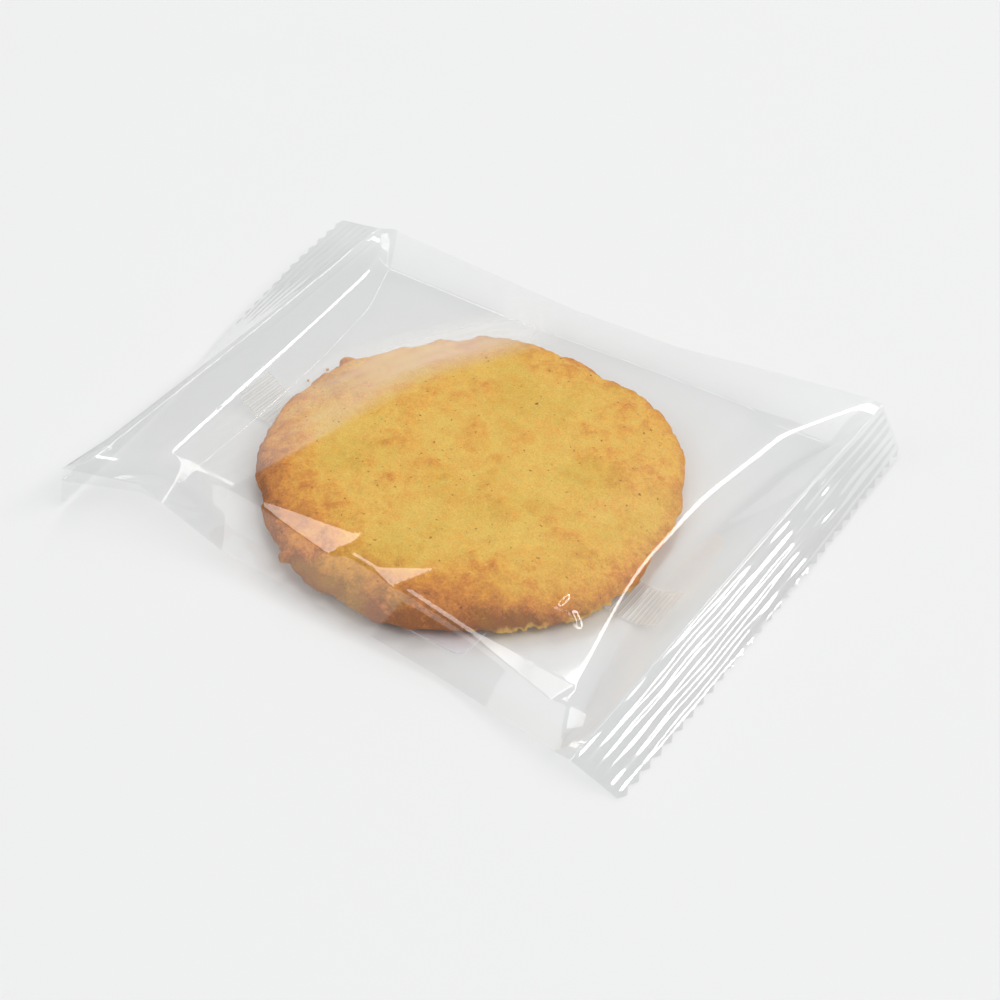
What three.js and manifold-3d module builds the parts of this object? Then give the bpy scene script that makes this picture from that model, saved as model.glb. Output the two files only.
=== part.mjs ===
// A clear flow pack that lies flat on a table, with one large round oatmeal cookie sealed inside and a blank
// paper label stuck to its underside. The pack is one solid out to the outside of its film: a pillow drawn tight
// over the cookie, a crimped seal strip with a zigzag cut at each end, and the lengthwise fin folded flat below.
// Millimetres, +Z up. +X runs along the pack, +Y across it to the side with the slack, and the origin is the
// middle of the footprint on the table.
import * as THREE from "three";
import { mergeVertices } from "three/addons/utils/BufferGeometryUtils.js";
import Module from "manifold-3d";

// ---- Film and seals ----
const FILM_HALF = 0.3; // half the least thickness of the solid, where two films lie together
const STRIP_WIDTH = 12; // end seal, from its inner line to the cut edge
const RIBS = 5; // crimp ribs in a strip, parallel to the cut
const RIB_HEIGHT = 0.3; // how far a rib stands out of the strip's plane, and its valley in
const TEETH = 30; // zigzag teeth along a cut edge
const TOOTH_DEPTH = 1.0;
const FIN_EDGES = [23, 29]; // the columns of teeth points that the fin's two long edges follow
const FIN_CREASE = 0.35; // how far the underside is pressed in along them

// ---- Label ----
const LABEL = { length: 44, width: 40, thick: 0.3, corner: 2.5, x: 8.9, y: -24.8, gap: 0.3 };
const LABEL_CORNER_STEPS = 6;

// ---- Folds of the film ----
// Stations across the pack, as shares of its width from the front edge to the back edge.
const STATIONS = [0, 0.12, 0.36, 0.61, 0.84, 1];

// Each end seal: the ends of its inner line, and at each station that line's height and the strip's dip in degrees.
const LEFT_SEAL = {
  outward: -1,
  front: [-60.9, -57.8],
  back: [-63.5, 52.8],
  heights: [12.6, 11.7, 10.3, 9.5, 9.1, 9.0],
  dips: [77, 69, 56, 30, 12, 5],
};
const RIGHT_SEAL = {
  outward: 1,
  front: [64.5, -58.0],
  back: [68.2, 58.5],
  heights: [4.5, 5.3, 7.0, 8.8, 10.4, 11.5],
  dips: [20, 25, 35, 45, 55, 61],
};

// The top film's folds between the seals, from left to right, each with one point at every station: on the front
// edge, on the front ridge, twice over the cookie, on the back ridge and on the back edge. `lift` is how high the
// bottom film stands under the four inner points, and `steps` how many rows lead to this fold from the one before.
const FOLDS = [
  {
    name: "left ridge",
    steps: 3,
    points: [
      [-43.6, -51.8, 10.8],
      [-46.7, -39.8, 12.5],
      [-48.3, -14.8, 12.6],
      [-50.1, 12.2, 12.2],
      [-52.2, 33.6, 11.6],
      [-60.0, 54.8, 8.3],
    ],
    lift: [5, 1.2, 0.5, 1.5],
  },
  {
    name: "edge of the cookie's slope",
    steps: 3,
    points: [
      [-19.6, -50.9, 2.6],
      [-27.1, -40.8, 10.0],
      [-23.1, -13.8, 10.9],
      [-15.1, 13.2, 10.9],
      [-0.1, 36.2, 10.6],
      [-10.0, 56.1, 5.5],
    ],
    lift: [0, 0, 0, 0],
  },
  {
    name: "middle of the cookie",
    steps: 4,
    points: [
      [6.5, -51.6, 2.4],
      [5.0, -43.0, 10.3],
      [5.0, -13.8, 11.2],
      [10.0, 13.2, 11.1],
      [16.0, 38.2, 10.6],
      [18.5, 57.6, 5.5],
    ],
    lift: [0, 0, 0, 0],
  },
  {
    name: "right part of the cookie",
    steps: 4,
    points: [
      [32.0, -52.6, 1.2],
      [34.0, -44.3, 10.0],
      [32.0, -14.8, 11.0],
      [33.0, 13.2, 11.0],
      [37.0, 38.2, 10.8],
      [39.0, 59.9, 7.0],
    ],
    lift: [0, 0, 0, 0],
  },
  {
    name: "right ridge",
    steps: 3,
    points: [
      [60.5, -57.0, 3.2],
      [58.6, -47.1, 8.7],
      [52.3, -16.8, 10.3],
      [51.7, 10.2, 10.6],
      [56.0, 38.2, 11.1],
      [65.0, 59.1, 11.2],
    ],
    lift: [0.8, 0, 0, 1.5],
  },
];
const LAST_STEPS = 2; // rows from the right ridge to the right seal's inner line

const COLUMNS = 2 * TEETH;
const STRIP_ROWS = 2 * RIBS;

const radians = (degrees) => (degrees * Math.PI) / 180;
const mix = (a, b, t) => a + (b - a) * t;
const mixPoints = (a, b, t) => a.map((value, i) => mix(value, b[i], t));

// Station number, with its fraction, of a share of the pack's width.
function stationOf(share) {
  let i = 0;
  while (i < STATIONS.length - 2 && share > STATIONS[i + 1]) i += 1;
  return [i, (share - STATIONS[i]) / (STATIONS[i + 1] - STATIONS[i])];
}

function along(values, share) {
  const [i, t] = stationOf(share);
  return Array.isArray(values[i]) ? mixPoints(values[i], values[i + 1], t) : mix(values[i], values[i + 1], t);
}

const sealPoint = (seal, share) => [...mixPoints(seal.front, seal.back, share), along(seal.heights, share)];

// The line across the pack's body at one of its folds, or at a seal's inner line, as top and bottom points.
function foldLine(fold) {
  if (fold.heights) {
    return (share) => ({ top: sealPoint(fold, share), lift: sealPoint(fold, share)[2] });
  }
  const lifts = [fold.points[0][2], ...fold.lift, fold.points[5][2]];
  return (share) => ({ top: along(fold.points, share), lift: along(lifts, share) });
}

// How far the underside is pressed in at a column, along the fin's two long edges.
const finCrease = (column) => (FIN_EDGES.includes(column) ? FIN_CREASE : 0);

// One column's point on both faces of the pack, at a share t of the way between two folds.
function bodyPoint(from, to, t, column) {
  const share = column / COLUMNS;
  const a = from(share);
  const b = to(share);
  const [x, y, z] = mixPoints(a.top, b.top, t);
  const under = Math.min(mix(a.lift, b.lift, t), z);
  return {
    top: [x, y, z + FILM_HALF],
    bottom: [x, y, Math.max(0, under - FILM_HALF) + finCrease(column)],
  };
}

// One column's point on both faces of a strip, `row` rows out from the seal's inner line.
function stripPoint(seal, row, column) {
  const share = column / COLUMNS;
  const [x, y, z] = sealPoint(seal, share);
  const dip = radians(along(seal.dips, share));
  const tooth = column % 2 === 0 ? TOOTH_DEPTH : 0;
  const reach = row === STRIP_ROWS ? STRIP_WIDTH - tooth : (STRIP_WIDTH * row) / STRIP_ROWS;
  const rib = row === STRIP_ROWS ? 0 : (row % 2 === 0 ? -RIB_HEIGHT : RIB_HEIGHT);
  const place = (offset) => [
    x + seal.outward * (reach * Math.cos(dip) + offset * Math.sin(dip)),
    y,
    Math.max(0, z - reach * Math.sin(dip) + offset * Math.cos(dip)),
  ];
  return { top: place(rib + FILM_HALF), bottom: place(rib - FILM_HALF) };
}

// All rows of the pack from the left cut edge to the right one, each a list of column points.
function packRows() {
  const columns = Array.from({ length: COLUMNS + 1 }, (_, i) => i);
  const rows = [];
  for (let row = STRIP_ROWS; row >= 1; row -= 1) {
    rows.push(columns.map((column) => stripPoint(LEFT_SEAL, row, column)));
  }
  const lines = [LEFT_SEAL, ...FOLDS, RIGHT_SEAL].map(foldLine);
  const steps = [...FOLDS.map((fold) => fold.steps), LAST_STEPS];
  rows.push(columns.map((column) => bodyPoint(lines[0], lines[1], 0, column)));
  steps.forEach((count, i) => {
    for (let step = 1; step <= count; step += 1) {
      rows.push(columns.map((column) => bodyPoint(lines[i], lines[i + 1], step / count, column)));
    }
  });
  for (let row = 1; row <= STRIP_ROWS; row += 1) {
    rows.push(columns.map((column) => stripPoint(RIGHT_SEAL, row, column)));
  }
  return rows;
}

// A closed skin over two faces of the same rows and columns, with a wall round their border.
function closedSkin(rows) {
  const width = rows[0].length;
  const topOf = (row, column) => row * width + column;
  const bottomOf = (row, column) => rows.length * width + row * width + column;
  const triangles = [];
  const quad = (a, b, c, d) => triangles.push(a, b, c, a, c, d);
  for (let row = 0; row < rows.length - 1; row += 1) {
    for (let column = 0; column < width - 1; column += 1) {
      const corners = [[row, column], [row + 1, column], [row + 1, column + 1], [row, column + 1]];
      quad(...corners.map((corner) => topOf(...corner)));
      quad(...corners.reverse().map((corner) => bottomOf(...corner)));
    }
  }
  const wall = (from, to) => quad(bottomOf(...from), bottomOf(...to), topOf(...to), topOf(...from));
  for (let row = 0; row < rows.length - 1; row += 1) {
    wall([row, 0], [row + 1, 0]);
    wall([row + 1, width - 1], [row, width - 1]);
  }
  for (let column = 0; column < width - 1; column += 1) {
    wall([0, column + 1], [0, column]);
    wall([rows.length - 1, column], [rows.length - 1, column + 1]);
  }
  const points = [
    ...rows.flatMap((row) => row.map((point) => point.top)),
    ...rows.flatMap((row) => row.map((point) => point.bottom)),
  ];
  const geometry = new THREE.BufferGeometry();
  geometry.setAttribute("position", new THREE.Float32BufferAttribute(points.flat(), 3));
  geometry.setIndex(triangles);
  return geometry;
}

// A rectangle with round corners, grown by `margin` all round and extruded up from the table.
function labelShape(margin, thickness) {
  const halfLength = LABEL.length / 2 + margin;
  const halfWidth = LABEL.width / 2 + margin;
  const radius = LABEL.corner + margin;
  const outline = new THREE.Shape();
  const corners = [
    [halfLength - radius, -halfWidth + radius, -90],
    [halfLength - radius, halfWidth - radius, 0],
    [-halfLength + radius, halfWidth - radius, 90],
    [-halfLength + radius, -halfWidth + radius, 180],
  ];
  for (const [x, y, start] of corners) {
    outline.absarc(x, y, radius, radians(start), radians(start + 90), false);
  }
  return new THREE.ExtrudeGeometry(outline, {
    depth: thickness,
    bevelEnabled: false,
    curveSegments: LABEL_CORNER_STEPS,
  });
}

const wasm = await Module();
wasm.setup();

function toSolid(geometry) {
  const bare = geometry.clone();
  bare.deleteAttribute("normal");
  bare.deleteAttribute("uv");
  const merged = mergeVertices(bare, 1e-5);
  return new wasm.Manifold(
    new wasm.Mesh({
      numProp: 3,
      vertProperties: new Float32Array(merged.attributes.position.array),
      triVerts: new Uint32Array(merged.index.array),
    }),
  );
}

function toGeometry(solid) {
  const mesh = solid.getMesh();
  const geometry = new THREE.BufferGeometry();
  geometry.setAttribute("position", new THREE.Float32BufferAttribute(mesh.vertProperties, 3));
  geometry.setIndex(Array.from(mesh.triVerts));
  geometry.computeVertexNormals();
  return geometry;
}

// The pack is flush underneath: a shallow seat in its underside takes the label, with a small gap all round.
function packGeometry() {
  const seat = labelShape(LABEL.gap, LABEL.thick + LABEL.gap + 1);
  seat.translate(LABEL.x, LABEL.y, -1);
  return toGeometry(toSolid(closedSkin(packRows())).subtract(toSolid(seat)));
}

const clearFilm = new THREE.MeshStandardMaterial({
  name: "clear film",
  color: 0xe6e8ea,
  roughness: 0.08,
  metalness: 0,
  transparent: true,
  opacity: 0.3,
});
const labelPaper = new THREE.MeshStandardMaterial({
  name: "label paper",
  color: 0xf4f4f6,
  roughness: 0.55,
  metalness: 0,
});

const pack = new THREE.Mesh(packGeometry(), clearFilm);
pack.name = "flow_pack";

const label = new THREE.Mesh(labelShape(0, LABEL.thick), labelPaper);
label.name = "label";
label.position.set(LABEL.x, LABEL.y, 0);

// Both pieces move together so that the middle of the pack's footprint is the origin.
const footprint = new THREE.Box3().setFromObject(pack);
const middle = footprint.getCenter(new THREE.Vector3());
const cookiePack = new THREE.Group();
cookiePack.add(pack, label);
for (const piece of cookiePack.children) {
  piece.position.x -= middle.x;
  piece.position.y -= middle.y;
}

export default cookiePack;
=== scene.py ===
"""A clear flow pack with one large oatmeal cookie, lying on a pale table.

The film is a fine sheet laid over the pack's folds, with crimped end seals, glints along its ridges and
a knurled fin below. The cookie inside is a baked disc with toasted lumps and a broken lower edge. A piece
is shaped in millimetres, and make_object turns it to metres.
"""
import functools
import math

import bmesh
import bpy
from mathutils import Matrix, Vector, noise
from mathutils.bvhtree import BVHTree


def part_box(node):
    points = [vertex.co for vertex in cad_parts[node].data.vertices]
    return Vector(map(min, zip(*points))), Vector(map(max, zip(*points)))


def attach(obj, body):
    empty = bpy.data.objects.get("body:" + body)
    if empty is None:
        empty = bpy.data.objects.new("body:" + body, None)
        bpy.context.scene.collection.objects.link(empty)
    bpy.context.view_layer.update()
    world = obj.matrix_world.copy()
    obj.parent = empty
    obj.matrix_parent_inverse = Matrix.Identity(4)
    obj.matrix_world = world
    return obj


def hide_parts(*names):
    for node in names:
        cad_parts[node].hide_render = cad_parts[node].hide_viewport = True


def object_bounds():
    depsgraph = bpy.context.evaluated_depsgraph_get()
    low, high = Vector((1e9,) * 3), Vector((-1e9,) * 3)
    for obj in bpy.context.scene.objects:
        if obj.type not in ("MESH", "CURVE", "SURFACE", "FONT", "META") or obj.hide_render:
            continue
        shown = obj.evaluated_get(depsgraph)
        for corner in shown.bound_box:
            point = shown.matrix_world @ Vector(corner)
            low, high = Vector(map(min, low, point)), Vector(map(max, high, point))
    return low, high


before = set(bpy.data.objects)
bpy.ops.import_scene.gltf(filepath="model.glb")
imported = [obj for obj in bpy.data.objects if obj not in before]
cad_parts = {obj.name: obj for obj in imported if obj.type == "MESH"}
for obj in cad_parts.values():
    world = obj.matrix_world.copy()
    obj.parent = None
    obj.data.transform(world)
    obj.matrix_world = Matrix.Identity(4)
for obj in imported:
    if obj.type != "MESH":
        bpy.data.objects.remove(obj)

CAD_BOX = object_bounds()
MM = 0.001
UP = Vector((0, 0, 1))
OVER_PACK = 30  # a height well above the pack, in millimetres
UNDER_TABLE = -1

# ---- Film: its folds, in millimetres from the pack's own reference point ----
# Stations are shares of the pack's width, from the front edge to the back edge.
STATIONS = [0, 0.12, 0.36, 0.61, 0.84, 1]
STATION_ROUNDING = [0, 0.04, 0.2, 0.2, 0.07, 0]  # the share over which each station's corner is rounded
FRONT_EDGE = -56
PACK_WIDTH = 113
LABEL_MIDDLE = Vector((8.9, -24.8, 0))
STRIP_WIDTH = 12  # of an end seal
TEETH = 30  # of the zigzag along each end
TOOTH_DEPTH = 1.0
TOOTH_START = 0.75  # the share of a strip's width from where the zigzag shapes its rows
# An end seal bends down from an inner line, which runs from `front` to `back` in plan. Its heights, and the
# angles of its dip in degrees, are those at the stations. `outward` is its direction along X.
LEFT_SEAL = {
    "outward": -1,
    "front": (-60.9, -57.8),
    "back": (-63.5, 52.8),
    "heights": [12.6, 11.0, 10.3, 9.5, 9.1, 9.0],
    "dips": [77, 69, 56, 32, 16, 10],
    "rib_depth": 0.04,
}
RIGHT_SEAL = {
    "outward": 1,
    "front": (64.5, -58.0),
    "back": (68.2, 58.5),
    "heights": [4.5, 5.3, 7.0, 8.8, 10.4, 11.5],
    "dips": [20, 25, 35, 45, 55, 61],
    "rib_depth": 0.085,
}
# Lines over the cookie have a point at each station. `lift` is the bottom film's height at the stations in
# between, and `rounding` the fold's width.
LEFT_RIDGE = {
    "points": [(-45.3, -51.8, 11.7), (-46.7, -39.8, 12.3), (-48.3, -14.8, 12.6),
               (-50.1, 12.2, 12.4), (-52.2, 33.6, 12.1), (-60.0, 54.8, 8.9)],
    "lift": [2.4, 1.0, 0.5, 1.5],
    "rounding": [0.6, 0.6, 0.6, 0.6, 0.6, 0.6],
}
# Just past the left ridge the film drops steeply, over these widths at the stations, then lies back.
SHOULDER_WIDTHS = [0.5, 0.9, 1.1, 0.8, 0.9, 1.7]
SHOULDER_SLOPE = 0.225
LEFT_SHOULDER = {
    "points": [Vector(point) + width * Vector((1, 0, -SHOULDER_SLOPE))
               for point, width in zip(LEFT_RIDGE["points"], SHOULDER_WIDTHS)],
    "lift": LEFT_RIDGE["lift"],
    "rounding": [0.4, 0.5, 0.6, 0.6, 0.6, 0.8],
}
SLOPE_EDGE = {
    "points": [(-24.6, -51.0, 3.4), (-29.5, -41.2, 11.1), (-23.3, -13.8, 10.6),
               (-15.1, 13.2, 10.3), (0.4, 36.2, 10.2), (-10.0, 56.1, 5.5)],
    "lift": [0, 0, 0, 0],
    "rounding": [2, 1.5, 2, 8, 12, 8],
}
MIDDLE = {
    "points": [(6.5, -51.6, 2.4), (5.0, -43.0, 10.3), (5.0, -13.8, 11.0),
               (10.0, 13.2, 11.0), (16.0, 38.2, 10.6), (18.5, 57.6, 5.5)],
    "lift": [0, 0, 0, 0],
    "rounding": [10, 10, 10, 10, 3, 10],
}
RIGHT_PART = {
    "points": [(32.0, -52.6, 1.2), (34.0, -46.6, 9.5), (32.0, -14.8, 10.8),
               (33.0, 13.2, 11.0), (37.0, 38.2, 10.8), (39.0, 59.9, 7.0)],
    "lift": [0, 0, 0, 0],
    "rounding": [8, 8, 10, 10, 10, 10],
}
RIGHT_RIDGE = {
    "points": [(60.5, -57.0, 3.2), (58.9, -49.6, 8.2), (52.3, -16.8, 10.3),
               (51.7, 10.2, 10.6), (56.0, 38.2, 11.7), (65.0, 59.1, 11.3)],
    "lift": [0.8, 0, 0, 1.5],
    "rounding": [1, 1.8, 2.6, 3, 6, 3],
}
LINES = [LEFT_SEAL, LEFT_RIDGE, LEFT_SHOULDER, SLOPE_EDGE, MIDDLE, RIGHT_PART, RIGHT_RIDGE, RIGHT_SEAL]
SEAL_ROUNDING = [1] * len(STATIONS)  # the outermost lines have no fold to round, so that any width does

# ---- Film: dents and creases, in the same millimetres ----
# A dent is shaved by a flat that is level with the film at `tip` and falls along `flat` (towards +X,
# towards +Y), until a second one, falling along `back`, brings it up again at `end`.
DENTS = [
    {"tip": (-22.0, -41.0), "flat": (0.05, -0.22), "end": (1.2, -40.0), "back": (-0.5, 0.0)},
    {"tip": (-4.5, -39.3), "flat": (0.095, -0.12), "end": (1.6, -38.0), "back": (-0.6, 0.0)},
    {"tip": (9.4, -43.0), "flat": (0.08, -0.115), "end": (17.5, -41.5), "back": (-0.3, 0.1)},
    {"tip": (35.1, -45.7), "flat": (0.045, -0.2), "end": (56.5, -49.0), "back": (-0.5, 0.0)},
]
# A bump: its middle, radius and height.
BUMPS = [(-48.0, -24.2, 1.0, 0.14), (-49.6, -8.0, 1.2, 0.16), (9.0, -43.1, 0.7, 0.08),
         (58.2, -46.3, 0.8, 0.1)]
# A crease runs through its points; then its half width and its height.
CREASES = [
    ([(43.3, -27.6), (43.4, -30.9), (46.8, -30.5), (49.3, -32.6)], 0.8, 0.12),
    ([(-62.3, -53.7), (-58.9, -45.9), (-58.2, -39.9)], 0.8, 0.2),
    ([(-59.6, -27.0), (-57.2, -3.9)], 0.8, 0.14),
    ([(-57.5, 3.5), (-59.3, 37.6), (-60.6, 51.8)], 0.8, 0.14),
]

# ---- Film: how fine its meshes are, and the pattern pressed into the seals ----
STRIP_ROWS = 30
TOP_ROWS = [26, 8, 50, 40, 40, 44, 26]  # between one line and the next
BOTTOM_ROWS = [8, 2, 14, 12, 12, 12, 8]
COLUMNS = 10 * TEETH
BOTTOM_HEIGHT = 0.45  # the bottom film, above the label and the fin
BACK_SLOPE = 1.1  # how steeply the bottom film rises to the back edge
TABLE_GAP = 0.02  # the least height of any film
LAYER_GAP = 0.03  # half the gap between the two films of a strip
RIM_SHARE = 0.02  # the share of a strip's width or length over which that gap and the ribs fade at its rim
RIB_PITCH = 2.0
RIB_START = 1.2  # the ribs have their full depth from here outward
RIB_WANDER = 0.9  # how far the ribs stray from their even pitch, in radians
RIB_UNEVENNESS = 1.1  # how much their depth varies, as a share of it
STRIP_WARP = 2.8  # how far a strip bends out of its plane, in rib depths
SLACK_HEIGHT = 0.02  # of the slack waves in the film between the seals
SLACK_LENGTH = 10

# ---- Film: painted haze, a milky white over the cookie in place of a hazy reflection of a pale lamp ----
PAINTED_HAZE = 0.34  # the share of milky white in the painted haze where it is fullest
HAZE_SOFTNESS = (1.2, 10.2)  # how wide the painted haze's right edge is, in its front half and its back half
HAZE_LEFT_EDGE = (24, 14)  # how far left of that edge it ends, and how far left it begins to fade
HAZE_FRONT_EDGE = (0.1, 0.14)  # the shares of the pack's width between which it begins
HAZE_BACK_EDGE = (1, 0.8)  # the share at which it ends, and the share at which it begins to fade
HAZE_STREAKS = 0.3  # how much its streaks differ
HAZE_IN_FRONT = 0.4  # how milky its front half is, compared with its back half

# ---- Fin seal, in millimetres ----
FIN_SHARES = (23 / 60, 29 / 60)  # its front and back edges, as shares of the pack's width
FIN_ENDS = (21.5, 17)  # how far it stops before the left and the right end of the pack
FIN_GAP = 0.04  # between it and the bottom film
FIN_SKEW = -7.5  # how far its right end lies to the front of its left end
FIN_ROWS = 12
FIN_EDGE = 0.12  # the share of its width over which the knurl fades at its edges
KNURL_PITCH = 1.05
KNURL_STEPS = 4  # columns of the mesh to each pitch
KNURL_DEPTHS = (0.042, 0.011)  # at its left end and at its right end
FIN_MILK = 0.38  # the share of light that the fin scatters, because its film is doubled and knurled
KNURL_PAINTED_SHEEN = 0.5  # painted sheen: how much more milky white the knurl's ridges get than that, and its grooves less, in place of their glints

# ---- Cookie, in millimetres from the point of the table that is under its middle ----
COOKIE_MIDDLE = Vector((3.4, -4.8, 0))  # in the model's frame
COOKIE_RADIUS = 45.5
# Half of its section, from the middle of the underside round to the middle of the top.
COOKIE_PROFILE = [(0, 0.6), (36, 0.6), (41, 0.85), (43.4, 1.5), (44.8, 2.6), (45.3, 3.8), (44.9, 5.1),
                  (43.6, 6.5), (41, 7.7), (37, 8.6), (30, 9.2), (20, 9.5), (9, 9.6), (0, 9.65)]
COOKIE_BOTTOM = COOKIE_PROFILE[0][1]
COOKIE_STEPS = 180
COOKIE_VOXEL = 0.45
COOKIE_SMOOTHING = 2
FILM_CLEARANCE = 0.15
# The outline's waves round the rim: how many, how far they stand out, and where they peak in degrees.
OUTLINE_WAVES = [(2, 0.6, -25), (3, 0.4, 170), (5, 0.65, -124), (6, 0.4, -80), (8, 0.4, 163),
                 (15, 0.3, -88)]
NUBS = [(-44.2, 15.1, 4.4, 1.7), (-15.9, -42.0, 4.6, 1.5)]  # crumbs baked on to the rim: middle and radius
# The crust's unevenness: its length, how far it stands out, and how much it adds to the toasting.
BROAD_WAVES = {"length": 14, "height": 0.2, "toast_and_shade": 0.1}
WAVES = {"length": 4, "height": 0.35}
BIG_LUMPS = {"length": 5.5, "height": 0.75, "toast_and_shade": 0.16, "seed": 2.0}
LITTLE_LUMPS = {"length": 2.7, "height": 0.5, "toast_and_shade": 0.14, "seed": 5.0}
ROUGHNESS = {"length": 1.7, "height": 0.2}
LUMP_SLOPE = (0.75, 0.1)  # how far from its middle a lump begins and is at its full height, in lengths
LUMP_CROWDS = 2.3  # how far apart the crowds of lumps are, in lengths
CROWD_EDGE = (-0.15, 0.3)  # the noise at which a crowd begins, and at which it is full
SIDE_WAVES = [(5.2, 0.55), (2.1, 0.3)]  # more waves round the side: their lengths and heights
SIDE_SHARES = (0.88, 0.99)  # the shares of the outline's radius at which they begin and are full
BOTTOM_EDGE = (0.6, 2.0)  # the heights at which the underside's smoothness ends and the crust is full
# Toasting with painted shade, from 0 to 1: the least that there is, and what the rest adds to it.
TOAST_AND_SHADE = {"least": 0.07, "rim": 0.2, "painted_shade_front_rim": 0.47, "wall": 0.26, "painted_lump_shade": 0.08}
TOASTED_RIM = (0.62, 1.0)  # the shares of the radius at which the rim's toasting begins and is full
RIM_WANDER = 0.1  # how far in and out it begins, as a share of the radius
TOASTED_WALL = (7.8, 5)  # the heights at which the wall's toasting begins and is full
SHADED_FRONT = Vector((-0.15, -0.8))  # the direction in plan in which painted shade darkens the rim most: its front, away from the lamps
FRONT_SPREAD = (-0.2, 0.7)  # how nearly the rim faces that way where this begins and is full
# The lower edge has broken away in pieces, along this stretch of the rim, in degrees.
BROKEN_STRETCH = (-56, -8)
BROKEN_FADE = 4  # degrees at either end of the stretch
BROKEN_PIECE = 6  # degrees
PIECE_EDGE = (-0.25, 0.05)  # the noise at which a piece begins, and at which it is gone
BROKEN_FOOT = (0.8, 1.4)  # the heights at which the break begins and is full
BROKEN_TOP = (3.5, 3.0)  # the heights at which it ends and is still full
BROKEN_RAGGED = 1.1  # how far up and down its top wanders
RAGGED_LENGTH = 1.6
LEDGE = 0.5  # how far the crumb stands out where the crust is gone
LEDGE_ROUGHNESS = 1.1
LEDGE_GRAIN = 0.9

# ---- Loose crumbs, in millimetres: middle and radius, in the model's frame ----
CRUMBS = [(-44.7, 6.8, 1.1, 0.75), (-46.4, 9.4, 0.9, 0.35), (-47.6, 3.9, 0.8, 0.3)]
CRUMB_ROUGHNESS = 0.5
CRUMB_LUMPS = 1.3  # lumps to a millimetre
CRUMB_FLATNESS = 0.7
CRUMB_TOAST = 0.5

# ---- Table, lamps and camera ----
TABLE_HALF = 6.0  # metres
LAMP_DISTANCE = 4.0  # metres
LAMP_COLOUR = (1, 0.98, 0.96)
ROOM_COLOUR = (0.91, 0.96, 1.0, 1)
ROOM_STRENGTH = 0.36
# The camera's place and aim in millimetres, and its lens.
CAMERA_PLACE = Vector((189.84, -262.79, 283.53))
CAMERA_AIM = Vector((10.6, -3.9, 0))
CAMERA_LENS = 72
# Film at a lamp's place, in millimetres, mirrors it to the camera where it falls at rates in the first range
# to +X and in the second to +Y. The last number is the lamp's radiance.
LAMPS = {
    "ridge_light": ((52, -5, 10.5), (0.03, 0.07), (-0.22, 0.2), 12),  # glints along the ridges
    "glint_light": ((-8, -40, 10), (0.02, 0.12), (-0.27, -0.1), 5),  # glints in the front dents
    "corner_light": ((47, -47.5, 8.5), (0.045, 0.09), (-0.25, -0.16), 2.7),  # the front right corner
    "seal_light": ((72, -35, 3), (0.6, 0.73), (-0.25, 0.05), 8.5),  # the right seal's ribs
    "side_light": ((0, 0, 10), (0.45, 0.95), (-0.6, -0.3), 3.5),  # hardly any film mirrors it
    "overhead_light": ((0, -48, 6), (-0.25, 0.2), (-1.03, -0.45), 1.5),  # the sloping front side
}

# From the pack's reference point to the model's frame, by way of the label, whose place is known in both.
label_low, label_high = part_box("label")
SHIFT = (label_low + label_high) / 2 - LABEL_MIDDLE * MM
SHIFT.z = 0


# ---- Small helpers ----
def mix(a, b, t):
    return a + (b - a) * t


def smooth_step(low, high, value):
    t = min(max((value - low) / (high - low), 0), 1)
    return t * t * (3 - 2 * t)


def streaks(across, along, width, length, seed):
    """Smooth noise from -1 to 1, drawn out into streaks of about this width and length."""
    return noise.noise(Vector((across / width, along / length, seed)))


def eased(knots, values, rounding, place):
    """Straight runs from value to value, with the corner at each inner knot rounded over its own width."""
    slope = (values[1] - values[0]) / (knots[1] - knots[0])
    result = values[0] + slope * (place - knots[0])
    for i in range(1, len(knots) - 1):
        next_slope = (values[i + 1] - values[i]) / (knots[i + 1] - knots[i])
        past, width = place - knots[i], rounding[i]
        t = min(max(past / width + 0.5, 0), 1)
        turned = width * t ** 3 * (1 - t / 2) + max(past - width / 2, 0)
        result = result + (next_slope - slope) * turned
        slope = next_slope
    return result


def make_object(name, bm, material):
    """A finished piece from a bmesh in millimetres, on the pack's one body."""
    bmesh.ops.scale(bm, vec=(MM, MM, MM), verts=bm.verts)
    mesh = bpy.data.meshes.new(name)
    bm.to_mesh(mesh)
    bm.free()
    mesh.shade_smooth()
    mesh.materials.append(material)
    piece = bpy.data.objects.new(name, mesh)
    bpy.context.scene.collection.objects.link(piece)
    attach(piece, "root")
    return piece


# ---- The pack's form ----
def line_point(line, share):
    """A point of the top film on one of the lines, and the height of the bottom film under it."""
    if "heights" in line:
        x, y = Vector(line["front"]).lerp(Vector(line["back"]), share)
        height = eased(STATIONS, line["heights"], STATION_ROUNDING, share)
        return Vector((x, y, height)), height
    points = [Vector(point) for point in line["points"]]
    point = eased(STATIONS, points, STATION_ROUNDING, share)
    lift = eased(STATIONS[:5], [points[0].z, *line["lift"]], STATION_ROUNDING, share)
    return point, max(lift, points[-1].z - BACK_SLOPE * (points[-1].y - point.y))


@functools.lru_cache(maxsize=None)
def section(share):
    """The pack cut across at this share of its width: each line's x, y, height, bottom height, rounding."""
    crossed = [line_point(line, share) for line in LINES]
    points = [point for point, _ in crossed]
    lows = [low for _, low in crossed]
    rounding = [eased(STATIONS, line.get("rounding", SEAL_ROUNDING), STATION_ROUNDING, share)
                for line in LINES]
    return [p.x for p in points], [p.y for p in points], [p.z for p in points], lows, rounding


def body_point(i, t, share, side):
    """A point between line i and the next one, on the top film (side 1) or the bottom film (side -1)."""
    xs, ys, heights, lows, rounding = section(share)
    x = mix(xs[i], xs[i + 1], t)
    height = eased(xs, heights, rounding, x)
    if side < 0:
        height = min(height, max(BOTTOM_HEIGHT, mix(lows[i], lows[i + 1], t)))
    return Vector((x, eased(xs, ys, rounding, x), height))


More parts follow.
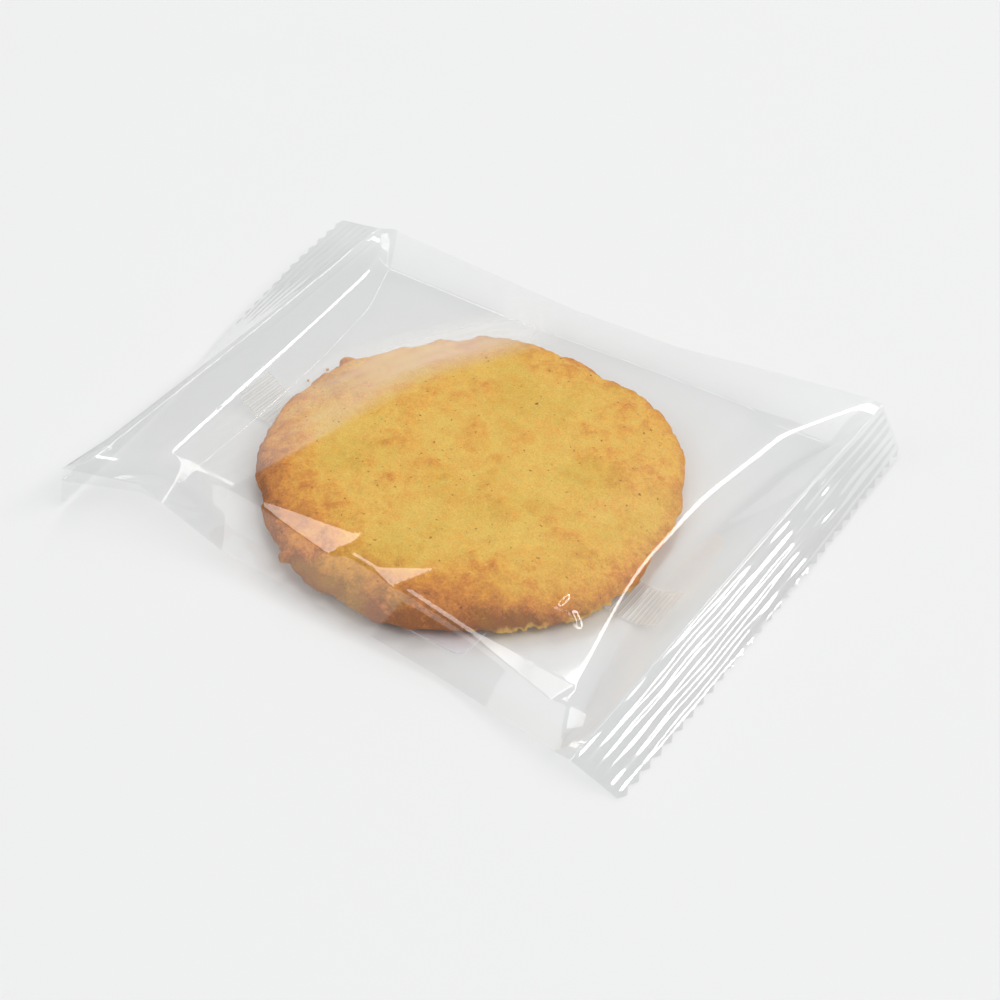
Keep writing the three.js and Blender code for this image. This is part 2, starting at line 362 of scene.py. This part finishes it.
def trimmed(reach, share):
    """How far out a row of a seal lies once the zigzag is cut into it."""
    tooth = abs(2 * (share * TEETH % 1) - 1)
    return reach - TOOTH_DEPTH * tooth * smooth_step(TOOTH_START, 1, reach / STRIP_WIDTH)


def strip_point(seal, row_reach, share, side):
    """A point of an end seal, in the row that would lie `row_reach` from its inner line but for the teeth."""
    point, _ = line_point(seal, share)
    dip = math.radians(eased(STATIONS, seal["dips"], STATION_ROUNDING, share))
    reach = trimmed(row_reach, share)
    out = Vector((seal["outward"] * math.cos(dip), 0, -math.sin(dip)))
    normal = Vector((seal["outward"] * math.sin(dip), 0, math.cos(dip)))
    rim = min(share, 1 - share, (STRIP_WIDTH - reach) / STRIP_WIDTH)
    return point + out * reach + normal * side * LAYER_GAP * smooth_step(0, RIM_SHARE, rim)


def film_rows(counts):
    """Each row of the film from left to right: the function that places it, and what that function needs."""
    outward = [STRIP_WIDTH * n / STRIP_ROWS for n in range(1, STRIP_ROWS + 1)]
    rows = [(strip_point, LEFT_SEAL, reach) for reach in reversed(outward)]
    rows.append((body_point, 0, 0))
    for i, count in enumerate(counts):
        rows += [(body_point, i, (n + 1) / count) for n in range(count)]
    return rows + [(strip_point, RIGHT_SEAL, reach) for reach in outward]


# ---- Materials ----
COLOUR_A, COLOUR_B, COLOUR_OUT = 6, 7, 2  # a Mix node's sockets for colours


def linear(hex_colour):
    """An sRGB hex colour as linear red, green, blue and alpha."""
    parts = [int(hex_colour[i:i + 2], 16) / 255 for i in (1, 3, 5)]
    return (*[p / 12.92 if p <= 0.04045 else ((p + 0.055) / 1.055) ** 2.4 for p in parts], 1)


def pattern_scale(size):
    """The scale of a texture node whose features are about `size` millimetres apart."""
    return 1 / (size * MM)


def add(tree, kind, inputs=None, stops=None, **settings):
    """Adds a shader node.

    `inputs` maps a socket's name or number to a value or to another node's socket. `stops` are a colour
    ramp's places and colours, with its two ends first, because a new ramp already has those.
    """
    made = tree.nodes.new("ShaderNode" + kind)
    for name, value in settings.items():
        setattr(made, name, value)
    for name, value in (inputs or {}).items():
        if isinstance(value, bpy.types.NodeSocket):
            tree.links.new(value, made.inputs[name])
        else:
            made.inputs[name].default_value = value
    if stops:
        ramp = made.color_ramp.elements
        for n, (place, hex_colour) in enumerate(stops):
            stop = ramp[n] if n < 2 else ramp.new(place)
            stop.position = place
            stop.color = linear(hex_colour)
    return made


def new_material(name):
    material = bpy.data.materials.new(name)
    material.use_nodes = True
    material.node_tree.nodes.clear()
    return material, material.node_tree


def clear_film():
    """Oriented polypropylene film, stretched thin: light passes through, and lamps mirror sharply in it."""
    material, tree = new_material("clear polypropylene film")
    # Schlick's rule by hand, because the film is met from both of its sides. Head on its two faces mirror a
    # little together, and towards a glancing view they mirror nearly all.
    head_on, rise = 0.06, 0.9
    facing = add(tree, "LayerWeight", {"Blend": 0.5})
    glancing = add(tree, "Math", {0: facing.outputs["Facing"], 1: 5.0}, operation="POWER")
    smooth = add(tree, "Math", {0: glancing.outputs[0], 1: rise, 2: head_on}, operation="MULTIPLY_ADD")
    # The fine crimp of a seal tilts the film every way, so that more of it is met at a glancing angle.
    crimp_gain = 0.03
    crimped = add(tree, "Attribute", attribute_name="crimped").outputs["Fac"]
    mirror = add(tree, "Math", {0: crimped, 1: crimp_gain, 2: smooth.outputs[0]}, operation="MULTIPLY_ADD")
    # Most of the mirror image is sharp, with a faint haze round it.
    sharp = add(tree, "BsdfGlossy", {"Color": (1, 1, 1, 1), "Roughness": 0.05})
    hazy = add(tree, "BsdfGlossy", {"Color": (1, 1, 1, 1), "Roughness": 0.22})
    gloss = add(tree, "MixShader", {0: 0.25, 1: sharp.outputs[0], 2: hazy.outputs[0]})
    see_through = add(tree, "BsdfTransparent", {"Color": (0.977, 0.98, 0.979, 1)})
    film = add(tree, "MixShader", {0: mirror.outputs[0], 1: see_through.outputs[0], 2: gloss.outputs[0]})
    # Milky white from an attribute: over the cookie it is painted haze in place of a hazy reflection, and on
    # the fin it is the milk of its doubled film, with a painted sheen on the knurl.
    milk_and_painted_sheen = add(tree, "Attribute", attribute_name="milk_and_painted_sheen").outputs["Fac"]
    milk = add(tree, "BsdfDiffuse", {"Color": linear("#FFFDFA"), "Roughness": 1.0})
    milky = add(tree, "MixShader", {0: milk_and_painted_sheen, 1: film.outputs[0], 2: milk.outputs[0]})
    add(tree, "OutputMaterial", {"Surface": milky.outputs[0]})
    return material


def label_paper():
    """Smooth coated label paper, faintly lilac white, with a trace of fibre."""
    material, tree = new_material("coated label paper")
    place = add(tree, "TexCoord").outputs["Object"]
    fibre = add(tree, "TexNoise", {"Vector": place, "Scale": pattern_scale(1.11), "Detail": 3,
                                   "Roughness": 0.6})
    tone = add(tree, "ValToRGB", {"Fac": fibre.outputs[0]}, [(0.35, "#F8F5FC"), (0.65, "#FDFBFF")])
    relief = add(tree, "Bump", {"Height": fibre.outputs[0], "Strength": 0.1, "Distance": 0.05 * MM})
    paper = add(tree, "BsdfPrincipled", {"Base Color": tone.outputs[0], "Roughness": 0.45,
                                         "Normal": relief.outputs[0]})
    add(tree, "OutputMaterial", {"Surface": paper.outputs[0]})
    return material


def toast_and_shade_colour(tree, place, grain):
    """The crust's colour: golden yellow where it is palest, and browner where its attribute of toasting and
    painted shade is higher.
    """
    toast_and_shade = add(tree, "Attribute", attribute_name="toast_and_shade").outputs["Fac"]
    # Toasting is broken up into patches of about 3 mm, and again from grain to grain.
    patches = add(tree, "TexNoise", {"Vector": place, "Scale": pattern_scale(2.94), "Detail": 5,
                                     "Roughness": 0.7})
    patchy = add(tree, "MapRange", {"Value": patches.outputs[0], "From Min": 0.3, "From Max": 0.7,
                                    "To Min": -0.2, "To Max": 0.2})
    grainy = add(tree, "MapRange", {"Value": grain, "From Min": 0.3, "From Max": 0.7,
                                    "To Min": 0.13, "To Max": -0.13})
    uneven = add(tree, "Math", {0: patchy.outputs[0], 1: grainy.outputs[0]}, operation="ADD")
    browned_and_shaded = add(tree, "Math", {0: toast_and_shade, 1: uneven.outputs[0]}, operation="ADD")
    crust = add(tree, "ValToRGB", {"Fac": browned_and_shaded.outputs[0]},
                [(0.0, "#FFD466"), (1.0, "#AC662E"), (0.28, "#FFC356"), (0.52, "#F2A445"), (0.78, "#D8873E")])
    # Turmeric yellow leans a little to green in broad soft patches of about 13 mm.
    tinge = add(tree, "TexNoise", {"Vector": place, "Scale": pattern_scale(13.33), "Detail": 2,
                                   "Roughness": 0.5})
    greener = add(tree, "MapRange", {"Value": tinge.outputs[0], "From Min": 0.5, "From Max": 0.68,
                                     "To Min": 0.0, "To Max": 0.3})
    tinged = add(tree, "Mix", {0: greener.outputs[0], COLOUR_A: crust.outputs[0],
                               COLOUR_B: linear("#E2BC3C")}, data_type="RGBA")
    return tinged.outputs[COLOUR_OUT]


def specked(tree, place, colour):
    """A colour with dark specks of bran and spice over it, of ragged outlines and uneven darkness."""
    ragged = add(tree, "TexNoise", {"Vector": place, "Scale": pattern_scale(0.4545), "Detail": 2})
    off_centre = add(tree, "VectorMath", {0: ragged.outputs["Color"], 1: (MM, MM, MM), 2: place},
                     operation="MULTIPLY_ADD")
    # Each kind: how far apart its seeds lie in millimetres, the share of seeds that stays bare, a speck's
    # radius as a share of that distance, and its colour. The specks are a few tenths of a millimetre across.
    kinds = [(1.429, 0.66, 0.2, "#A8642A"), (3.03, 0.74, 0.13, "#743A12")]
    for apart, bare, radius, hex_colour in kinds:
        cells = add(tree, "TexVoronoi", {"Vector": off_centre.outputs[0], "Scale": pattern_scale(apart),
                                         "Randomness": 1.0})
        chance = add(tree, "SeparateColor", {0: cells.outputs["Color"]})
        few = add(tree, "MapRange", {"Value": chance.outputs[0], "From Min": bare, "From Max": bare + 0.2,
                                     "To Min": 0.0, "To Max": 0.85})
        small = add(tree, "MapRange", {"Value": cells.outputs["Distance"], "From Min": 0.5 * radius,
                                       "From Max": radius, "To Min": 1.0, "To Max": 0.0})
        speck = add(tree, "Math", {0: few.outputs[0], 1: small.outputs[0]}, operation="MULTIPLY")
        over = add(tree, "Mix", {0: speck.outputs[0], COLOUR_A: colour, COLOUR_B: linear(hex_colour)},
                   data_type="RGBA")
        colour = over.outputs[COLOUR_OUT]
    return colour


def baked_dough():
    """Oatmeal cookie dough, baked dry and matte: a rough toasted crust with pores, over a paler crumb."""
    material, tree = new_material("baked oatmeal dough")
    place = add(tree, "TexCoord").outputs["Object"]
    # Grains of about 0.7 mm, and fine pores and flakes of 0.3 mm and less.
    grain = add(tree, "TexNoise", {"Vector": place, "Scale": pattern_scale(0.714), "Detail": 3,
                                   "Roughness": 0.7}).outputs[0]
    pores = add(tree, "TexNoise", {"Vector": place, "Scale": pattern_scale(0.3448), "Detail": 3,
                                   "Roughness": 0.75}).outputs[0]
    pore_tone = add(tree, "MapRange", {"Value": pores, "From Min": 0.3, "From Max": 0.68,
                                       "To Min": 0.84, "To Max": 1.15})
    crust = toast_and_shade_colour(tree, place, grain)
    grained = add(tree, "Mix", {0: 1.0, COLOUR_A: crust, COLOUR_B: pore_tone.outputs[0]},
                  data_type="RGBA", blend_type="MULTIPLY")
    speckled = specked(tree, place, grained.outputs[COLOUR_OUT])
    # Where the lower edge has broken away, the pale crumb inside shows.
    crumb = add(tree, "Attribute", attribute_name="crumb").outputs["Fac"]
    opened = add(tree, "Mix", {0: crumb, COLOUR_A: speckled, COLOUR_B: linear("#F8C468")},
                 data_type="RGBA")
    height = add(tree, "Math", {0: grain, 1: pores}, operation="ADD")
    relief = add(tree, "Bump", {"Height": height.outputs[0], "Strength": 0.8, "Distance": 0.4 * MM})
    dough = add(tree, "BsdfPrincipled", {"Base Color": opened.outputs[COLOUR_OUT], "Roughness": 0.72,
                                         "Specular IOR Level": 0.25, "Normal": relief.outputs[0]})
    add(tree, "OutputMaterial", {"Surface": dough.outputs[0]})
    return material


def table_paint():
    """Matte pale paint on the table top."""
    material, tree = new_material("pale table top")
    paint = add(tree, "BsdfPrincipled", {"Base Color": linear("#F2F2F2"), "Roughness": 0.9,
                                         "Specular IOR Level": 0.0})
    add(tree, "OutputMaterial", {"Surface": paint.outputs[0]})
    return material


FILM = clear_film()
DOUGH = baked_dough()


# ---- The film bag ----
def film_sheet(side, counts):
    """One side of the bag: a grid laid over the lines, and the row and the share each vertex belongs to."""
    rows = film_rows(counts)
    bm = bmesh.new()
    bmesh.ops.create_grid(bm, x_segments=len(rows) - 1, y_segments=COLUMNS, size=0.5)
    bm.verts.layers.float.new("milk_and_painted_sheen")
    crimped = bm.verts.layers.float.new("crimped")
    places = {}
    for vert in bm.verts:
        row = rows[round((vert.co.x + 0.5) * (len(rows) - 1))]
        share = round((vert.co.y + 0.5) * COLUMNS) / COLUMNS
        place, *what = row
        vert.co = place(*what, share, side)
        vert[crimped] = 1 if place is strip_point else 0
        places[vert] = (row, share)
    if side < 0:
        bmesh.ops.reverse_faces(bm, faces=bm.faces)
    return bm, places


def flat_through(surface, spot, fall):
    """The height of a flat that meets the film at `spot` and falls at these rates towards +X and +Y."""
    x, y = spot
    height = surface.ray_cast(Vector((x, y, OVER_PACK)), -UP)[0].z
    return lambda co: height - fall[0] * (co.x - x) - fall[1] * (co.y - y)


def shave_dents(bm):
    surface = BVHTree.FromBMesh(bm)
    for dent in DENTS:
        flat = flat_through(surface, dent["tip"], dent["flat"])
        back = flat_through(surface, dent["end"], dent["back"])
        for vert in bm.verts:
            vert.co.z = min(vert.co.z, max(flat(vert.co), back(vert.co)))


def from_crease(points, co):
    """How far away in plan a crease passes."""
    nearest = []
    for start, end in zip(points, points[1:]):
        start, end, spot = Vector(start), Vector(end), co.to_2d()
        t = min(max((spot - start).dot(end - start) / (end - start).length_squared, 0), 1)
        nearest.append((spot - start.lerp(end, t)).length)
    return min(nearest)


def rounded_off(away):
    """The height of a bump or a crease, from 1 in its middle to 0 at its edge and beyond."""
    return (1 - min(away, 1) ** 2) ** 2


def raise_creases(bm):
    """Bumps and sharp little creases stand up out of the film."""
    for vert in bm.verts:
        for x, y, radius, height in BUMPS:
            vert.co.z += height * rounded_off(math.hypot(vert.co.x - x, vert.co.y - y) / radius)
    for points, width, height in CREASES:
        low = [min(point[axis] for point in points) - width for axis in (0, 1)]
        high = [max(point[axis] for point in points) + width for axis in (0, 1)]
        for vert in bm.verts:
            if low[0] < vert.co.x < high[0] and low[1] < vert.co.y < high[1]:
                vert.co.z += height * rounded_off(from_crease(points, vert.co) / width)


def film_relief(row, share, co):
    """How far a point of the film stands out: crimp ribs on the strips, and slack waves between them."""
    if row[0] is body_point:
        return SLACK_HEIGHT * noise.noise(co / SLACK_LENGTH)
    _, seal, row_reach = row
    reach = trimmed(row_reach, share)
    wander = RIB_WANDER * streaks(reach, co.y, width=4, length=14, seed=3)
    depth = seal["rib_depth"] * (1 + RIB_UNEVENNESS * streaks(reach, co.y, width=2.2, length=9, seed=8))
    warp = STRIP_WARP * seal["rib_depth"] * streaks(reach, co.y, width=4, length=10, seed=1)
    ends = smooth_step(0, RIB_START, reach) * smooth_step(0, RIM_SHARE, min(share, 1 - share))
    return ends * (warp + depth * math.cos(math.tau * reach / RIB_PITCH + wander))


def paint_haze(bm):
    """Marks the painted haze: milky white in streaks left of the sloping edge, in place of a hazy reflection
    over the cookie.
    """
    milk_and_painted_sheen = bm.verts.layers.float["milk_and_painted_sheen"]
    for vert in bm.verts:
        share = min(max((vert.co.y - FRONT_EDGE) / PACK_WIDTH, 0), 1)
        past = line_point(SLOPE_EDGE, share)[0].x - vert.co.x
        softness = mix(*HAZE_SOFTNESS, smooth_step(0.3, 0.6, share))
        strength = 1 + HAZE_STREAKS * streaks(past, vert.co.y, width=2.5, length=16, seed=1)
        strength *= mix(HAZE_IN_FRONT, 1, smooth_step(0.3, 0.7, share))
        reach = smooth_step(0, softness, past) * smooth_step(*HAZE_LEFT_EDGE, past)
        reach *= smooth_step(*HAZE_FRONT_EDGE, share)
        vert[milk_and_painted_sheen] = PAINTED_HAZE * reach * strength * smooth_step(*HAZE_BACK_EDGE, share)


def film(name, side, counts):
    """One side of the bag as a finished piece, and its surface for other pieces to be laid against."""
    bm, places = film_sheet(side, counts)
    if side > 0:
        shave_dents(bm)
        raise_creases(bm)
    bm.normal_update()
    offsets = {vert: vert.normal * side * film_relief(*place, vert.co) for vert, place in places.items()}
    for vert, offset in offsets.items():
        vert.co += offset
        vert.co.z = max(vert.co.z, TABLE_GAP)
    if side > 0:
        # the painted haze over the cookie, in place of a hazy reflection
        paint_haze(bm)
    bmesh.ops.translate(bm, vec=SHIFT / MM, verts=bm.verts)
    surface = BVHTree.FromBMesh(bm)
    piece = make_object(name, bm, FILM)
    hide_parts("flow_pack")
    return surface


def fin_seal(under):
    """The lengthwise seal, folded flat against the underside: a strip of two films with a fine knurl."""
    low, high = CAD_BOX[0] / MM, CAD_BOX[1] / MM
    start, end = low.x + FIN_ENDS[0], high.x - FIN_ENDS[1]
    columns = round((end - start) / KNURL_PITCH) * KNURL_STEPS
    bm = bmesh.new()
    bmesh.ops.create_grid(bm, x_segments=columns, y_segments=FIN_ROWS, size=0.5)
    milk_and_painted_sheen = bm.verts.layers.float.new("milk_and_painted_sheen")
    front, back = (line_point(MIDDLE, share)[0].y for share in FIN_SHARES)
    for vert in bm.verts:
        along, across = vert.co.x + 0.5, vert.co.y + 0.5
        x = mix(start, end, along)
        y = mix(front, back, across) + SHIFT.y / MM + FIN_SKEW * along
        hit = under.ray_cast(Vector((x, y, UNDER_TABLE)), UP)[0]
        height = (hit.z if hit else BOTTOM_HEIGHT) - FIN_GAP
        edge = smooth_step(0, FIN_EDGE, 0.5 - abs(vert.co.y))
        depth = mix(*KNURL_DEPTHS, along)
        knurl = math.sin(math.tau * x / KNURL_PITCH)
        # Painted sheen: the knurl's ridges are whiter and its grooves less white, standing in for their
        # glints.
        vert[milk_and_painted_sheen] = FIN_MILK * (1 + KNURL_PAINTED_SHEEN * knurl)
        vert.co = (x, y, height + depth * edge * knurl - depth)
    return make_object("fin_seal", bm, FILM)


# ---- The cookie ----
def outline_radius(angle):
    """The outline's radius in this direction, as a share of the cookie's."""
    waves = sum(height * math.cos(count * angle - math.radians(peak))
                for count, height, peak in OUTLINE_WAVES)
    return 1 + waves / COOKIE_RADIUS


def remeshed(bm, voxel):
    """The same body as an even mesh of small squares."""
    mesh = bpy.data.meshes.new("body")
    bm.to_mesh(mesh)
    bm.free()
    body = bpy.data.objects.new("body", mesh)
    bpy.context.scene.collection.objects.link(body)
    remesh = body.modifiers.new("even", "REMESH")
    remesh.mode = "VOXEL"
    remesh.voxel_size = voxel
    graph = bpy.context.evaluated_depsgraph_get()
    bm = bmesh.new()
    bm.from_object(body, graph)
    bpy.data.objects.remove(body)
    bpy.data.meshes.remove(mesh)
    return bm


def cookie_body():
    """The cookie's smooth body: its profile spun, pulled out to the outline, with crumbs fused to the rim."""
    bm = bmesh.new()
    ring = [bm.verts.new((r, 0, z)) for r, z in COOKIE_PROFILE]
    edges = [bm.edges.new(pair) for pair in zip(ring, ring[1:])]
    bmesh.ops.spin(bm, geom=ring + edges, axis=UP, cent=(0, 0, 0), angle=math.tau, steps=COOKIE_STEPS,
                   use_merge=True)
    bmesh.ops.remove_doubles(bm, verts=bm.verts, dist=1e-4)
    bmesh.ops.recalc_face_normals(bm, faces=bm.faces)
    for vert in bm.verts:
        stretch = outline_radius(math.atan2(vert.co.y, vert.co.x))
        vert.co.x *= stretch
        vert.co.y *= stretch
    for x, y, z, radius in NUBS:
        made = bmesh.ops.create_icosphere(bm, subdivisions=2, radius=radius)
        bmesh.ops.translate(bm, vec=(x, y, z), verts=made["verts"])
    bm = remeshed(bm, COOKIE_VOXEL)
    for _ in range(COOKIE_SMOOTHING):
        bmesh.ops.smooth_vert(bm, verts=bm.verts, factor=0.5,
                              use_axis_x=True, use_axis_y=True, use_axis_z=True)
    return bm


def lumps(co, kind):
    """Rounded lumps from 0 to 1, that crowd in some places and are missing in others."""
    size, seed = kind["length"], kind["seed"]
    near, _ = noise.voronoi(co / size + Vector((seed, seed, seed)))
    crowding = noise.noise(co / (size * LUMP_CROWDS) + Vector((0, seed, 0)))
    return smooth_step(*LUMP_SLOPE, near[0]) * smooth_step(*CROWD_EDGE, crowding)


def crust_at(co, turn):
    """How far the crust stands out at a point in this direction from the middle, and how toasted it is, with
    painted shade on its front rim and on its lumps' flanks.
    """
    out = math.hypot(co.x, co.y) / COOKIE_RADIUS / outline_radius(turn)
    broad = noise.noise(co / BROAD_WAVES["length"])
    waves = noise.noise(co / WAVES["length"])
    big, little = lumps(co, BIG_LUMPS), lumps(co, LITTLE_LUMPS)
    rough = noise.fractal(co / ROUGHNESS["length"], 0.7, 2.0, 3)
    relief = (BROAD_WAVES["height"] * broad + BIG_LUMPS["height"] * big + LITTLE_LUMPS["height"] * little
              + ROUGHNESS["height"] * rough + WAVES["height"] * waves)
    side = smooth_step(*SIDE_SHARES, out)
    relief += side * sum(height * noise.noise(co / length) for length, height in SIDE_WAVES)

    rim = smooth_step(*TOASTED_RIM, out + RIM_WANDER * broad)
    wall = smooth_step(*TOASTED_WALL, co.z)
    # Painted shade on the rim's front, turned away from the lamps.
    front = smooth_step(*FRONT_SPREAD, SHADED_FRONT.dot(Vector((math.cos(turn), math.sin(turn)))))
    outlines = 4 * big * (1 - big)  # painted shade half way up each lump, where its flank would be shaded
    toast_and_shade = (TOAST_AND_SHADE["least"] + (TOAST_AND_SHADE["rim"] + TOAST_AND_SHADE["painted_shade_front_rim"] * front) * rim + TOAST_AND_SHADE["wall"] * wall
             + BIG_LUMPS["toast_and_shade"] * big + TOAST_AND_SHADE["painted_lump_shade"] * outlines
             + LITTLE_LUMPS["toast_and_shade"] * little + BROAD_WAVES["toast_and_shade"] * broad)
    return relief * smooth_step(*BOTTOM_EDGE, co.z), toast_and_shade


def broken_away(co, angle):
    """How far the crust is gone from the lower edge, in ragged stretches."""
    start, end = BROKEN_STRETCH
    stretch = smooth_step(start, start + BROKEN_FADE, angle) * smooth_step(end, end - BROKEN_FADE, angle)
    stretch *= smooth_step(*PIECE_EDGE, noise.noise(Vector((angle / BROKEN_PIECE, 2, 0))))
    ragged = co.z + BROKEN_RAGGED * noise.noise(co / RAGGED_LENGTH)
    return stretch * smooth_step(*BROKEN_TOP, ragged) * smooth_step(*BROKEN_FOOT, co.z)


def cookie(top_film):
    """The baked cookie: a crust on its smooth body, with a broken lower edge, kept below the top film."""
    bm = cookie_body()
    toast_and_shade = bm.verts.layers.float.new("toast_and_shade")
    crumb = bm.verts.layers.float.new("crumb")
    bm.normal_update()
    for vert in bm.verts:
        co = vert.co.copy()
        turn = math.atan2(co.y, co.x)
        relief, vert[toast_and_shade] = crust_at(co, turn)
        broken = broken_away(co, math.degrees(turn))
        ledge = broken * (LEDGE + LEDGE_ROUGHNESS * noise.noise(co / LEDGE_GRAIN))
        vert.co += vert.normal * relief + co.xy.normalized().to_3d() * ledge
        vert[crumb] = broken
    bmesh.ops.translate(bm, vec=COOKIE_MIDDLE, verts=bm.verts)
    for vert in bm.verts:
        over = top_film.ray_cast(vert.co + UP * OVER_PACK, -UP)[0]
        vert.co.z = min(vert.co.z, max(over.z - FILM_CLEARANCE, COOKIE_BOTTOM))
    return make_object("cookie", bm, DOUGH)


def loose_crumbs():
    """Crumbs that have come off inside the pack, each a rough little ball."""
    bm = bmesh.new()
    for x, y, z, radius in CRUMBS:
        made = bmesh.ops.create_icosphere(bm, subdivisions=3, radius=radius)
        for vert in made["verts"]:
            vert.co *= 1 + CRUMB_ROUGHNESS * noise.noise(vert.co * CRUMB_LUMPS + Vector((x, y, z)))
            vert.co.z *= CRUMB_FLATNESS
        bmesh.ops.translate(bm, vec=(x, y, z), verts=made["verts"])
    toast_and_shade = bm.verts.layers.float.new("toast_and_shade")
    for vert in bm.verts:
        vert[toast_and_shade] = CRUMB_TOAST
    return make_object("loose_crumbs", bm, DOUGH)


# ---- Table, light and camera ----
def table_top():
    bm = bmesh.new()
    bmesh.ops.create_grid(bm, x_segments=1, y_segments=1, size=TABLE_HALF)
    mesh = bpy.data.meshes.new("table")
    bm.to_mesh(mesh)
    bm.free()
    mesh.materials.append(table_paint())
    table = bpy.data.objects.new("table", mesh)
    bpy.context.scene.collection.objects.link(table)


def mirrored(place, slope_x, slope_y):
    """The direction that the camera sees in film at a place where it falls at these rates to +X and +Y."""
    normal = Vector((slope_x, slope_y, 1)).normalized()
    view = (CAMERA_PLACE - place).normalized()
    return 2 * normal.dot(view) * normal - view


def softbox(name, place, slopes_x, slopes_y, radiance):
    """A rectangular lamp that film mirrors to the camera, at this place and with slopes in these ranges."""
    place = Vector(place)
    middle_x, middle_y = sum(slopes_x) / 2, sum(slopes_y) / 2
    toward = mirrored(place, middle_x, middle_y)
    upward = mirrored(place, middle_x, slopes_y[1]) - mirrored(place, middle_x, slopes_y[0])
    upward -= toward * upward.dot(toward)
    sideways = upward.normalized().cross(toward)
    across = mirrored(place, slopes_x[1], middle_y) - mirrored(place, slopes_x[0], middle_y)
    lamp = bpy.data.lights.new(name, "AREA")
    lamp.shape = "RECTANGLE"
    lamp.size = abs(across.dot(sideways)) * LAMP_DISTANCE
    lamp.size_y = upward.length * LAMP_DISTANCE
    lamp.energy = radiance * math.pi * lamp.size * lamp.size_y
    lamp.color = LAMP_COLOUR
    holder = bpy.data.objects.new(name, lamp)
    bpy.context.scene.collection.objects.link(holder)
    holder.location = place * MM + toward * LAMP_DISTANCE
    turned = Matrix((sideways, upward.normalized(), toward)).transposed()
    holder.rotation_mode = "QUATERNION"
    holder.rotation_quaternion = turned.to_quaternion()


def room_light():
    """Even light from a pale room all round."""
    room = bpy.data.worlds.new("studio")
    room.use_nodes = True
    tree = room.node_tree
    tree.nodes.clear()
    glow = add(tree, "Background", {"Color": ROOM_COLOUR, "Strength": ROOM_STRENGTH})
    add(tree, "OutputWorld", {"Surface": glow.outputs[0]})
    bpy.context.scene.world = room


def camera():
    data = bpy.data.cameras.new("camera")
    data.lens = CAMERA_LENS
    data.sensor_width = 36
    data.clip_start, data.clip_end = 0.01, 20
    holder = bpy.data.objects.new("camera", data)
    bpy.context.scene.collection.objects.link(holder)
    holder.location = CAMERA_PLACE * MM
    holder.rotation_mode = "QUATERNION"
    holder.rotation_quaternion = (CAMERA_PLACE - CAMERA_AIM).to_track_quat("Z", "Y")
    bpy.context.scene.camera = holder


overside = film("top_film", 1, TOP_ROWS)
underside = film("bottom_film", -1, BOTTOM_ROWS)
fin_seal(underside)
cookie(overside)
loose_crumbs()
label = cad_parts["label"]
label.data.materials.clear()
label.data.materials.append(label_paper())

table_top()
room_light()
for name, lamp in LAMPS.items():
    softbox(name, *lamp)
camera()
bpy.context.scene.view_settings.view_transform = "Standard"
